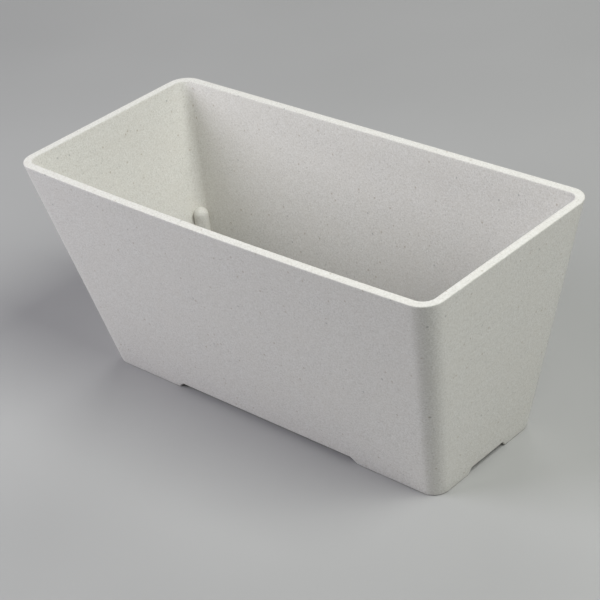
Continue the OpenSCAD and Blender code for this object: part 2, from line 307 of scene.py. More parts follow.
# What the CAD tub measures at the rim and at the feet
tub_low, tub_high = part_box("tub")
RIM_Z = tub_high.z
RIM_X = tub_high.x
RIM_Y = tub_high.y
CROWN = -tub_low.y - tub_high.y
foot_points = [v.co for v in frame["nodes"]["tub"].data.vertices if v.co.z < 0.1 * MM]
BASE_X = max(p.x for p in foot_points)
BASE_Y = max(p.y for p in foot_points)

RIM_CORNER = 17.5 * MM
BASE_CORNER = 13.5 * MM
RIM_WALL = 7.5 * MM
BASE_WALL = 6.0 * MM
FOOT = 5.0 * MM
FLOOR_TOP = 10.5 * MM
GAP_X = 95.5 * MM
GAP_Y = 21.5 * MM
GAP_BLEND_X = 4.5 * MM
GAP_BLEND_Y = 2.5 * MM
LIP_ROUND = 0.8 * MM
FOOT_ROUND = 1.3 * MM
FLOOR_FILLET = 5.0 * MM
CORNER_STEPS = 20
LONG_STEPS = 96
SHORT_STEPS = 44
PLUG_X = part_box("drain_plug")[0].x / 2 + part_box("drain_plug")[1].x / 2
PIPE_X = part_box("overflow_pipe")[0].x / 2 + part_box("overflow_pipe")[1].x / 2
PLUG_HOLE = 7.1 * MM
PIPE_HOLE = 10.0 * MM
LUG_TOP = 90 * MM
LUG_RADIUS = 6.5 * MM


def tub_wall(z):
    return BASE_WALL + (RIM_WALL - BASE_WALL) * z / RIM_Z


def tub_size(z):
    """Half length, half width, corner radius and crown of the outside at height z."""
    t = z / RIM_Z
    return (
        BASE_X + (RIM_X - BASE_X) * t,
        BASE_Y + (RIM_Y - BASE_Y) * t,
        BASE_CORNER + (RIM_CORNER - BASE_CORNER) * t,
        CROWN * t,
    )


def foot_gap(x, y):
    """How far the underside is raised at a place under the floor."""
    along = 1 - smoothstep(GAP_X - GAP_BLEND_X, GAP_X + GAP_BLEND_X, abs(x))
    across = 1 - smoothstep(GAP_Y - GAP_BLEND_Y, GAP_Y + GAP_BLEND_Y, abs(y))
    return FOOT * (1 - (1 - along) * (1 - across))


def crowded(count, half, centre, spread):
    """Even fractions of a side, with more of them near plus and minus centre."""
    side = [i / count for i in range(1, count)]
    near = [centre + spread * k / 6 for k in range(-6, 7)]
    near = [0.5 + s * c / half / 2 for c in near for s in (-1, 1)]
    kept = [t for t in side if min(abs(t - n) for n in near) > 0.3 / count]
    return sorted(kept + near)


LONG_SPOTS = crowded(LONG_STEPS, BASE_X - BASE_CORNER, GAP_X, GAP_BLEND_X)
SHORT_SPOTS = crowded(SHORT_STEPS, BASE_Y - BASE_CORNER, GAP_Y, GAP_BLEND_Y)


def tub_outline(inset, z):
    """Points round the tub at height z, inset from the outside, anticlockwise from above."""
    half_x, half_y, radius, crown = tub_size(z)
    half_x -= inset
    half_y -= inset
    radius = max(radius - inset, 0.5 * MM)
    flat_x = half_x - radius
    flat_y = half_y - radius

    def corner(sx, sy, start):
        turn = [start + math.pi / 2 * i / CORNER_STEPS for i in range(CORNER_STEPS + 1)]
        return [
            Vector((sx * flat_x + radius * math.cos(a), sy * flat_y + radius * math.sin(a), z))
            for a in turn
        ]

    points = corner(1, 1, 0)
    points += [Vector((flat_x - 2 * flat_x * t, half_y, z)) for t in LONG_SPOTS]
    points += corner(-1, 1, math.pi / 2)
    points += [Vector((-half_x, flat_y - 2 * flat_y * t, z)) for t in SHORT_SPOTS]
    points += corner(-1, -1, math.pi)
    points += [
        Vector((-flat_x + 2 * flat_x * t, -half_y - crown * 4 * t * (1 - t), z))
        for t in LONG_SPOTS
    ]
    points += corner(1, -1, math.pi * 1.5)
    points += [Vector((half_x, -flat_y + 2 * flat_y * t, z)) for t in SHORT_SPOTS]
    return points


def quarter(steps):
    """Sine and cosine over a quarter turn."""
    turn = [math.pi / 2 * i / steps for i in range(steps + 1)]
    return [(math.sin(a), math.cos(a)) for a in turn]


def tub_profile():
    """Inset and height of each ring, from under the feet, over the lip, to the floor."""
    rings = []
    rings += [(FOOT_ROUND * (1 - s), FOOT_ROUND * (1 - c)) for s, c in quarter(4)]
    wall_top = RIM_Z - LIP_ROUND
    rows = 10
    rings += [(0, 9 * MM + (wall_top - 10 * MM) * i / rows) for i in range(rows + 1)]
    rings += [(LIP_ROUND * (1 - c), wall_top + LIP_ROUND * s) for s, c in quarter(5)]
    rings += [(LIP_ROUND + 0.6 * MM, RIM_Z), (RIM_WALL - LIP_ROUND - 0.6 * MM, RIM_Z)]
    rings += [
        (RIM_WALL - LIP_ROUND + LIP_ROUND * s, wall_top + LIP_ROUND * c)
        for s, c in quarter(5)
    ]
    fillet_top = FLOOR_TOP + FLOOR_FILLET
    for i in range(1, rows + 1):
        z = wall_top - 1 * MM + (fillet_top + 2 * MM - wall_top) * i / rows
        rings.append((tub_wall(z), z))
    wall = tub_wall(FLOOR_TOP)
    rings += [
        (wall + FLOOR_FILLET * (1 - c), fillet_top - FLOOR_FILLET * s)
        for s, c in quarter(6)
    ]
    return rings


def flat_part(bm, rim, holes, height, spots):
    """Fills the rim, less the holes, with triangles whose heights follow the rule given."""
    coords = [v.co.to_2d() for v in rim]
    edges = [(i, (i + 1) % len(rim)) for i in range(len(rim))]
    hole_verts = []
    for x, radius in holes:
        first = len(coords)
        steps = 48
        for i in range(steps):
            place = Vector((x + radius * math.cos(TAU * i / steps), radius * math.sin(TAU * i / steps)))
            coords.append(place)
            edges.append((first + i, first + (i + 1) % steps))
        hole_verts.append((first, steps))
    inner = [
        Vector(p) for p in spots
        if all(math.hypot(p[0] - x, p[1]) > radius + 0.8 * MM for x, radius in holes)
    ]
    coords += inner
    out, _, faces, origin, _, _ = delaunay_2d_cdt(coords, edges, [], 1, 1e-7)
    verts = []
    for index, place in enumerate(out):
        source = origin[index][0] if origin[index] else -1
        if 0 <= source < len(rim):
            verts.append(rim[source])
        else:
            verts.append(bm.verts.new((place.x, place.y, height(place.x, place.y))))
    for corners in faces:
        middle = sum((out[c] for c in corners), Vector((0, 0))) / len(corners)
        if any(math.hypot(middle.x - x, middle.y) < radius * 0.98 for x, radius in holes):
            continue
        bm.faces.new([verts[c] for c in corners])
    place_of = {origin[i][0]: verts[i] for i in range(len(out)) if origin[i]}
    return [[place_of[first + i] for i in range(steps)] for first, steps in hole_verts]


def grid_spots(half_x, half_y, radius, dense_x, dense_y):
    """A grid of places inside a rounded rectangle, dense at the feet's steps."""
    xs = [half_x * i / 24 for i in range(-23, 24)] + dense_x
    ys = [half_y * i / 10 for i in range(-9, 10)] + dense_y

    def inside(x, y):
        dx = abs(x) - (half_x - radius)
        dy = abs(y) - (half_y - radius)
        if dx > 0 and dy > 0:
            return math.hypot(dx, dy) < radius - 0.8 * MM
        return abs(x) < half_x - 0.8 * MM and abs(y) < half_y - 0.8 * MM

    def thinned(values):
        kept = []
        for value in sorted(values):
            if not kept or value - kept[-1] > 0.55 * MM:
                kept.append(value)
        return kept

    return [(x, y) for x in thinned(xs) for y in thinned(ys) if inside(x, y)]


def make_tub_shell():
    bm = bmesh.new()
    rings = []
    for inset, z in tub_profile():
        ring = []
        outside = inset < RIM_WALL / 2 and z < RIM_Z / 2
        for p in tub_outline(inset, z):
            lift = 0
            if outside and z < 9 * MM:
                lift = foot_gap(p.x, p.y)
            if lift:
                height = z + lift
                # the wall leans outwards, so a raised edge moves out with it
                half_x, half_y, _, _ = tub_size(0)
                half_x_up, half_y_up, _, _ = tub_size(lift)
                p = Vector((p.x * half_x_up / half_x, p.y * half_y_up / half_y, height))
            ring.append(bm.verts.new(p))
        rings.append(ring)
    count = len(rings[0])
    for low, high in zip(rings, rings[1:]):
        for i in range(count):
            j = (i + 1) % count
            bm.faces.new((low[i], low[j], high[j], high[i]))

    holes = [(PLUG_X, PLUG_HOLE), (PIPE_X, PIPE_HOLE)]
    near = [k * 0.75 * MM for k in range(-8, 9)]
    dense_x = [s * (GAP_X + d) for d in near for s in (-1, 1)]
    dense_y = [s * (GAP_Y + d / 2) for d in near for s in (-1, 1)]
    half_x, half_y, radius, _ = tub_size(0)
    under = grid_spots(half_x - FOOT_ROUND, half_y - FOOT_ROUND, radius, dense_x, dense_y)
    under_holes = flat_part(bm, rings[0], holes, foot_gap, under)
    wall = tub_wall(FLOOR_TOP) + FLOOR_FILLET
    half_x, half_y, radius, _ = tub_size(FLOOR_TOP)
    top = grid_spots(half_x - wall, half_y - wall, max(radius - wall, 1 * MM), [], [])
    top_holes = flat_part(bm, rings[-1], holes, lambda x, y: FLOOR_TOP, top)
    for lower, upper in zip(under_holes, top_holes):
        for i in range(len(lower)):
            j = (i + 1) % len(lower)
            bm.faces.new((lower[j], lower[i], upper[i], upper[j]))
    bmesh.ops.recalc_face_normals(bm, faces=bm.faces)
    return new_object("tub_shell", bm)


def round_post(bm, x, y, low, top, radius):
    """A closed round post with a domed top."""
    steps = 48
    rings = [(radius, low)] + [(radius * c, top - radius + radius * s) for s, c in quarter(10)[:-1]]
    made = []
    for r, z in rings:
        made.append([
            bm.verts.new((x + r * math.cos(TAU * i / steps), y + r * math.sin(TAU * i / steps), z))
            for i in range(steps)
        ])
    for low_ring, high_ring in zip(made, made[1:]):
        for i in range(steps):
            j = (i + 1) % steps
            bm.faces.new((low_ring[i], low_ring[j], high_ring[j], high_ring[i]))
    bm.faces.new(list(reversed(made[0])))
    peak = bm.verts.new((x, y, top))
    for i in range(steps):
        bm.faces.new((made[-1][i], made[-1][(i + 1) % steps], peak))


def lug_place():
    """Middle of the lug at plus x and plus y, tangent to both walls where its dome begins."""
    shoulder = LUG_TOP - LUG_RADIUS
    half_x, half_y, _, _ = tub_size(shoulder)
    inset = tub_wall(shoulder) + LUG_RADIUS
    return Vector((half_x - inset, half_y - inset))


def make_lugs():
    """The four stacking lugs, cut back to the middle of the walls that they grow out of."""
    x, y = lug_place()
    bm = bmesh.new()
    for sx in (-1, 1):
        for sy in (-1, 1):
            round_post(bm, sx * x, sy * y, 7 * MM, LUG_TOP, LUG_RADIUS)
    lugs = new_object("lugs", bm)

    core = bmesh.new()
    low = [core.verts.new(p) for p in tub_outline(tub_wall(0) / 2, 8 * MM)]
    high = [core.verts.new(p) for p in tub_outline(tub_wall(0) / 2, 110 * MM)]
    core.faces.new(list(reversed(low)))
    core.faces.new(high)
    for i in range(len(low)):
        j = (i + 1) % len(low)
        core.faces.new((low[i], low[j], high[j], high[i]))
    boolean(lugs, new_object("core", core), "INTERSECT")
    return lugs


def make_tub():
    tub = make_tub_shell()
    boolean(tub, make_lugs(), "UNION")
    tub.name = "tub_moulding"
    tub.data.materials.clear()
    tub.data.materials.append(stone_resin())
    smooth(tub, 32)
    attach(tub, "tub_body")
    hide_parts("tub")


# ------------------------------------------------------------------ kit shapes, in millimetres


def mm_box(node):
    """Lowest and highest corner of a CAD node, in millimetres."""
    low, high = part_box(node)
    return Vector(low) / MM, Vector(high) / MM


def middle_of(node):
    low, high = mm_box(node)
    return ((low + high) / 2).to_2d()


def rounded(points, radius, steps=4):
    """The closed outline with its corners rounded, as far as its sides leave room."""
    out = []
    points = [Vector(p) for p in points]
    for i, here in enumerate(points):
        before = points[i - 1] - here
        after = points[(i + 1) % len(points)] - here
        turn = before.angle(after)
        if turn > 3.0 or here.x < 1e-6:
            out.append(here)
            continue
        reach = min(radius / math.tan(turn / 2), 0.45 * before.length, 0.45 * after.length)
        first = here + before.normalized() * reach
        last = here + after.normalized() * reach
        for k in range(steps + 1):
            t = k / steps
            out.append(first * (1 - t) ** 2 + here * 2 * t * (1 - t) + last * t * t)
    return out


def add_lathe(bm, profile, centre, steps=72):
    """Turns a closed outline of (radius, height) points about a vertical line."""
    rows = []
    for p in profile:
        if p[0] < 1e-6:
            rows.append([bm.verts.new((centre.x, centre.y, p[1]))] * steps)
            continue
        rows.append([
            bm.verts.new((
                centre.x + p[0] * math.cos(TAU * k / steps),
                centre.y + p[0] * math.sin(TAU * k / steps),
                p[1],
            ))
            for k in range(steps)
        ])
    for i, row in enumerate(rows):
        following = rows[(i + 1) % len(rows)]
        for k in range(steps):
            j = (k + 1) % steps
            corners = list(dict.fromkeys((row[k], row[j], following[j], following[k])))
            if len(corners) > 2:
                bm.faces.new(corners)


def add_prism(bm, low, high):
    """A closed solid between two outlines with the same number of points."""
    low = [bm.verts.new(p) for p in low]
    high = [bm.verts.new(p) for p in high]
    bm.faces.new(list(reversed(low)))
    bm.faces.new(high)
    for i in range(len(low)):
        j = (i + 1) % len(low)
        bm.faces.new((low[i], low[j], high[j], high[i]))


def circle(x, y, radius, steps=64):
    return [
        Vector((x + radius * math.cos(TAU * i / steps), y + radius * math.sin(TAU * i / steps)))
        for i in range(steps)
    ]


def stadium(x, y, half_width, half_length, steps=6):
    """A slot with round ends, long in y."""
    straight = half_length - half_width
    turn = [math.pi * i / steps for i in range(steps + 1)]
    top = [Vector((x + half_width * math.cos(a), y + straight + half_width * math.sin(a))) for a in turn]
    return top + [Vector((2 * x, 2 * y)) - p for p in top]


def is_inside(outline, p):
    """Whether a point lies inside a closed outline, by counting crossings."""
    odd = False
    for i, a in enumerate(outline):
        b = outline[i - 1]
        if (a.y > p.y) != (b.y > p.y) and p.x < a.x + (p.y - a.y) * (b.x - a.x) / (b.y - a.y):
            odd = not odd
    return odd


def add_plate(bm, outer, holes, low, high, edge):
    """A flat plate with holes and rounded edges. Each outline is a function of how far it grows."""
    steps = quarter(3)
    levels = [(edge * (1 - s), low + edge * (1 - c)) for s, c in steps]
    levels += [(edge * (1 - c), high - edge + edge * s) for s, c in steps]
    loops = [(outer, -1)] + [(hole, 1) for hole in holes]
    ends = ([], [])
    for outline, sign in loops:
        rings = [[bm.verts.new((*p, z)) for p in outline(sign * inset)] for inset, z in levels]
        for low_ring, high_ring in zip(rings, rings[1:]):
            for i in range(len(low_ring)):
                j = (i + 1) % len(low_ring)
                bm.faces.new((low_ring[i], low_ring[j], high_ring[j], high_ring[i]))
        ends[0].append(rings[0])
        ends[1].append(rings[-1])
    for rings in ends:
        verts = [v for ring in rings for v in ring]
        edges = []
        first = 0
        for ring in rings:
            edges += [(first + i, first + (i + 1) % len(ring)) for i in range(len(ring))]
            first += len(ring)
        coords = [v.co.to_2d() for v in verts]
        outlines = [[v.co.to_2d() for v in ring] for ring in rings]
        spans = [
            (min(p.x for p in o), max(p.x for p in o), min(p.y for p in o), max(p.y for p in o))
            for o in outlines
        ]
        _, _, faces, origin, _, _ = delaunay_2d_cdt(coords, edges, [], 1, 1e-6)
        for corners in faces:
            places = [origin[c][0] for c in corners]
            p = sum((coords[i] for i in places), Vector((0, 0))) / len(places)
            near = [
                o for o, (x0, x1, y0, y1) in zip(outlines[1:], spans[1:])
                if x0 < p.x < x1 and y0 < p.y < y1
            ]
            if is_inside(outlines[0], p) and not any(is_inside(o, p) for o in near):
                bm.faces.new([verts[i] for i in places])


def mm_object(name, bm):
    bmesh.ops.scale(bm, vec=(MM, MM, MM), verts=bm.verts)
    bmesh.ops.recalc_face_normals(bm, faces=bm.faces)
    return new_object(name, bm)


def turned(name, points, centre, edge, steps=72):
    """A turned piece from one closed outline of (radius, height) points, edges rounded."""
    bm = bmesh.new()
    add_lathe(bm, rounded(points, edge), centre, steps)
    return mm_object(name, bm)


def slot_cutters(centre, count, start, reach, width, low, high):
    """Round-ended radial cutters for the windows of a cage or basket."""
    bm = bmesh.new()
    outline = stadium(0, (low + high) / 2, width / 2, (high - low) / 2)
    for k in range(count):
        turn = TAU * k / count
        out = Vector((math.cos(turn), math.sin(turn), 0))
        side = Vector((-math.sin(turn), math.cos(turn), 0))
        base = centre.to_3d()
        add_prism(
            bm,
            [base + out * start + side * p.x + Vector((0, 0, p.y)) for p in outline],
            [base + out * reach + side * p.x + Vector((0, 0, p.y)) for p in outline],
        )
    return mm_object("cutters", bm)


def upright_pegs(places, radius, low, high, steps=32):
    """Closed cylinders used as drills and flutes."""
    bm = bmesh.new()
    for x, y in places:
        ring = circle(x, y, radius, steps)
        add_prism(bm, [(*p, low) for p in ring], [(*p, high) for p in ring])
    return mm_object("pegs", bm)


def stand_in(obj, node, material, angle=35):
    """The finished piece takes the CAD node's place on its body."""
    obj.name = node + "_moulding"
    obj.data.materials.clear()
    obj.data.materials.append(material)
    smooth(obj, angle)
    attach(obj, body_of(frame["nodes"][node])[0])
    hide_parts(node)


# ------------------------------------------------------------------ kit

WATER_LEVEL = 40.0
DECK_TOP = 55.0
DECK_BOTTOM = 52.0
SKIRT_BOTTOM = 47.0
FLOOR_MM = FLOOR_TOP / MM
LUG_NOTCH = 7.5
LEG_COLUMNS = (-132, 0, 132)
LEG_ROW = 40
LEG_TOP = 9.0
LEG_FOOT = 6.0
LEG_WALL = 1.8
SLOT_PITCH = (12, 18)
SLOT_SIZE = (3, 12)
BASKET_HOLE = 27.5
TUBE_RADIUS = 13.0
TUBE_BORE = 11.4
TUBE_SOCKET = 15.5
FUNNEL_RADIUS = 17.6
HINGE_ARM = 20.8
EAR_CENTRE = 6.3
EAR_WIDTH = 3.0
KNUCKLE_WIDTH = 9.0
KNUCKLE_RADIUS = 2.8
PIN_RADIUS = 1.25
GAUGE_RADIUS = 8.0
GAUGE_BORE = 6.6
CAGE_RADIUS = 14.2
CAGE_BORE = 12.7
ROD_RADIUS = 1.5

BASKET_PLACES = [middle_of("wicking_basket_left"), middle_of("wicking_basket_right")]
FILL_PLACE = middle_of("fill_tube")
GAUGE_PLACE = middle_of("gauge_tube")
PIPE_PLACE = middle_of("overflow_pipe")
PLUG_PLACE = middle_of("drain_plug")


def make_overflow(rubber, grey):
    grommet = turned("grommet", [
        (8, 3.2), (11.25, 3.2), (11.25, 5), (10, 5), (10, FLOOR_MM), (12.5, FLOOR_MM),
        (12.5, FLOOR_MM + 1.8), (8, FLOOR_MM + 1.8),
    ], PIPE_PLACE, 0.6)
    stand_in(grommet, "overflow_grommet", rubber)

    pipe = turned("pipe", [
        (6.5, 1.5), (8, 1.5), (8, 12.3), (9.4, 12.3), (9.4, 13.7), (8, 13.7),
        (8, WATER_LEVEL), (6.5, WATER_LEVEL),
    ], PIPE_PLACE, 0.4)
    stand_in(pipe, "overflow_pipe", grey)

    top = WATER_LEVEL + 5
    screen = turned("screen", [
        (8, WATER_LEVEL - 6), (9.5, WATER_LEVEL - 6), (9.5, top + 1.5), (0, top + 1.5),
        (0, top), (6.5, top), (6.5, WATER_LEVEL), (8, WATER_LEVEL),
    ], PIPE_PLACE, 0.6)
    cutters = slot_cutters(PIPE_PLACE, 10, 5.5, 10.5, 1.6, WATER_LEVEL + 0.8, top - 0.8)
    boolean(screen, cutters, "DIFFERENCE")
    stand_in(screen, "overflow_screen", grey)


def make_plug(rubber):
    head = FLOOR_MM + 1.5
    bm = bmesh.new()
    add_lathe(bm, rounded([
        (0, 3), (6.2, 3), (7, 4.2), (7, head), (12, head), (12, head + 3), (8.5, head + 3),
        (8, head + 2.4), (0, head + 2.4),
    ], 0.7), PLUG_PLACE)
    plug = mm_object("plug", bm)
    bm = bmesh.new()
    rings = []
    loop, wire, sides = 5.0, 1.5, 20
    for i in range(25):
        turn = math.pi * i / 24
        out = Vector((math.cos(turn), 0, math.sin(turn)))
        base = Vector((PLUG_PLACE.x, PLUG_PLACE.y, head + 2.25)) + out * loop
        rings.append([
            bm.verts.new(base + (out * math.cos(angle) + Vector((0, math.sin(angle), 0))) * wire)
            for angle in [TAU * k / sides for k in range(sides)]
        ])
    for a, b in zip(rings, rings[1:]):
        for k in range(sides):
            j = (k + 1) % sides
            bm.faces.new((a[k], a[j], b[j], b[k]))
    bm.faces.new(rings[0])
    bm.faces.new(list(reversed(rings[-1])))
    boolean(plug, mm_object("loop", bm), "UNION")
    stand_in(plug, "drain_plug", rubber)

    gasket = turned("gasket", [
        (7, FLOOR_MM), (11.5, FLOOR_MM), (11.5, head), (7, head),
    ], PLUG_PLACE, 0.5)
    stand_in(gasket, "plug_gasket", rubber)


def deck_outline(grow):
    """The deck's outline, with a round bite at each corner for a stacking lug."""
    high = mm_box("reservoir_platform")[1]
    half_x = high.x + grow
    half_y = high.y + grow
    bite = LUG_NOTCH - grow
    lug = lug_place() / MM
    first = math.atan2(-math.sqrt(bite ** 2 - (half_x - lug.x) ** 2), half_x - lug.x)
    last = math.atan2(half_y - lug.y, -math.sqrt(bite ** 2 - (half_y - lug.y) ** 2))
    last -= TAU if last > 0 else 0
    steps = 16
    turn = [first + (last - first) * i / steps for i in range(steps + 1)]
    arc = [Vector((lug.x + bite * math.cos(a), lug.y + bite * math.sin(a))) for a in turn]
    back = list(reversed(arc))
    return (
        arc
        + [Vector((-p.x, p.y)) for p in back]
        + [Vector((-p.x, -p.y)) for p in arc]
        + [Vector((p.x, -p.y)) for p in back]
    )


def deck_slots():
    """Places of the soil slots, clear of the baskets, legs and sockets."""
    keep_off = [(p, BASKET_HOLE + 10) for p in BASKET_PLACES]
    keep_off += [(FILL_PLACE, TUBE_SOCKET + 8), (GAUGE_PLACE, CAGE_RADIUS + 8)]
    keep_off += [(Vector((x, s * LEG_ROW)), LEG_TOP + 8) for x in LEG_COLUMNS for s in (-1, 1)]
    places = [Vector((i * SLOT_PITCH[0], j * SLOT_PITCH[1])) for i in range(-14, 15) for j in range(-2, 3)]
    return [p for p in places if all((p - q).length > reach for q, reach in keep_off)]


def add_rib(bm, x0, x1, y0, y1):
    """A strengthening rib under the deck, with its top inside the plate."""
    low, high = DECK_BOTTOM - 3.5, DECK_BOTTOM + 1
    outline = ((x0, y0), (x1, y0), (x1, y1), (x0, y1))
    add_prism(bm, [(x, y, low) for x, y in outline], [(x, y, high) for x, y in outline])


def make_platform(charcoal):
    holes = []
    for p in deck_slots():
        holes.append(lambda grow, p=p: stadium(p.x, p.y, SLOT_SIZE[0] / 2 + grow, SLOT_SIZE[1] / 2 + grow))
    round_holes = [(p, BASKET_HOLE) for p in BASKET_PLACES]
    round_holes += [(FILL_PLACE, TUBE_RADIUS + 0.4), (GAUGE_PLACE, 2.3)]
    well = LEG_TOP - LEG_WALL - 0.2
    legs = [Vector((x, s * LEG_ROW)) for x in LEG_COLUMNS for s in (-1, 1)]
    round_holes += [(p, well) for p in legs]
    for p, radius in round_holes:
        holes.append(lambda grow, p=p, radius=radius: circle(p.x, p.y, radius + grow))
    bm = bmesh.new()
    add_plate(bm, deck_outline, holes, DECK_BOTTOM, DECK_TOP, 0.5)
    deck = mm_object("deck", bm)

    bm = bmesh.new()
    inside = DECK_BOTTOM + 1
    add_plate(bm, lambda grow: deck_outline(grow - 0.15), [lambda grow: deck_outline(grow - 2)],
              SKIRT_BOTTOM, inside, 0.5)
    for p in legs:
        add_lathe(bm, rounded([
            (0, FLOOR_MM), (LEG_FOOT, FLOOR_MM), (LEG_TOP - 0.2, inside), (well + 0.1, inside),
            (LEG_FOOT - LEG_WALL, FLOOR_MM + LEG_WALL), (0, FLOOR_MM + LEG_WALL),
        ], 0.6), p, 48)
    for p in BASKET_PLACES:
        add_lathe(bm, rounded([
            (BASKET_HOLE + 0.1, DECK_BOTTOM - 4), (BASKET_HOLE + 2, DECK_BOTTOM - 4),
            (BASKET_HOLE + 2, inside), (BASKET_HOLE + 0.1, inside),
        ], 0.5), p)
    add_lathe(bm, rounded([
        (TUBE_RADIUS + 0.3, inside), (TUBE_SOCKET, inside), (TUBE_SOCKET, DECK_TOP + 9),
        (TUBE_RADIUS + 0.3, DECK_TOP + 9),
    ], 0.5), FILL_PLACE)
    add_lathe(bm, rounded([
        (GAUGE_RADIUS + 0.2, inside + 1), (GAUGE_RADIUS + 2.2, inside + 1),
        (GAUGE_RADIUS + 2.2, DECK_TOP + 8), (GAUGE_RADIUS + 0.2, DECK_TOP + 8),
    ], 0.5), GAUGE_PLACE)
    boolean(deck, mm_object("skirt_and_legs", bm), "UNION")

    high = mm_box("reservoir_platform")[1]
    half, row = 0.8, 27
    chord = math.sqrt((BASKET_HOLE + 1) ** 2 - row ** 2)
    left, right = BASKET_PLACES[0].x, BASKET_PLACES[1].x
    end = high.x - 1
    bm = bmesh.new()
    for s in (-1, 1):
        last = end if s < 0 else GAUGE_PLACE.x - CAGE_RADIUS - 2
        for x0, x1 in ((-end, left - chord), (left + chord, right - chord), (right + chord, last)):
            add_rib(bm, x0, x1, s * row - half, s * row + half)
    boolean(deck, mm_object("long_ribs", bm), "UNION")
    bm = bmesh.new()
    for x in (-42, 42):
        add_rib(bm, x - half, x + half, -high.y + 1, high.y - 1)
    for x in LEG_COLUMNS:
        for s in (-1, 1):
            y0, y1 = sorted((s * (LEG_ROW + LEG_TOP - 1.2), s * (high.y - 1)))
            add_rib(bm, x - half, x + half, y0, y1)
        add_rib(bm, x - half, x + half, -LEG_ROW + LEG_TOP - 1.2, LEG_ROW - LEG_TOP + 1.2)
    boolean(deck, mm_object("cross_ribs", bm), "UNION")
    stand_in(deck, "reservoir_platform", charcoal, 30)


def make_basket(node, place, material):
    floor = FLOOR_MM + 2.5
    top = DECK_TOP + 2
    foot, mouth, wall = 20.0, 26.5, 1.8

    def outside(z):
        return foot + (mouth - foot) * (z - floor) / (top - floor)

    basket = turned("basket", [
        (0, floor), (foot, floor), (outside(16), 16), (outside(16) + 0.6, 16.4),
        (outside(17) + 0.6, 17), (outside(17.4), 17.4),
        (outside(44.8), 44.8), (outside(45.2) + 0.6, 45.2),
        (outside(46.2) + 0.6, 46.2), (outside(46.6), 46.6),
        (outside(DECK_TOP), DECK_TOP), (mouth + 5, DECK_TOP), (mouth + 5, top),
        (mouth - wall, top), (foot - wall, floor + wall), (0, floor + wall),
    ], place, 0.6)
    boolean(basket, slot_cutters(place, 16, foot - 5, mouth + 2, 2.6, 18, 44), "DIFFERENCE")
    drains = [(place.x, place.y)]
    drains += [
        (place.x + 11 * math.cos(TAU * k / 6), place.y + 11 * math.sin(TAU * k / 6))
        for k in range(6)
    ]
    boolean(basket, upright_pegs(drains, 2.5, floor - 1, floor + 3), "DIFFERENCE")
    stand_in(basket, node, material)


def lying_disc(radius, x, z, y0, y1, steps=48):
    """A closed round bar along y."""
    bm = bmesh.new()
    ring = circle(x, z, radius, steps)
    add_prism(bm, [(p.x, y0, p.y) for p in ring], [(p.x, y1, p.y) for p in ring])
    return mm_object("bar", bm)


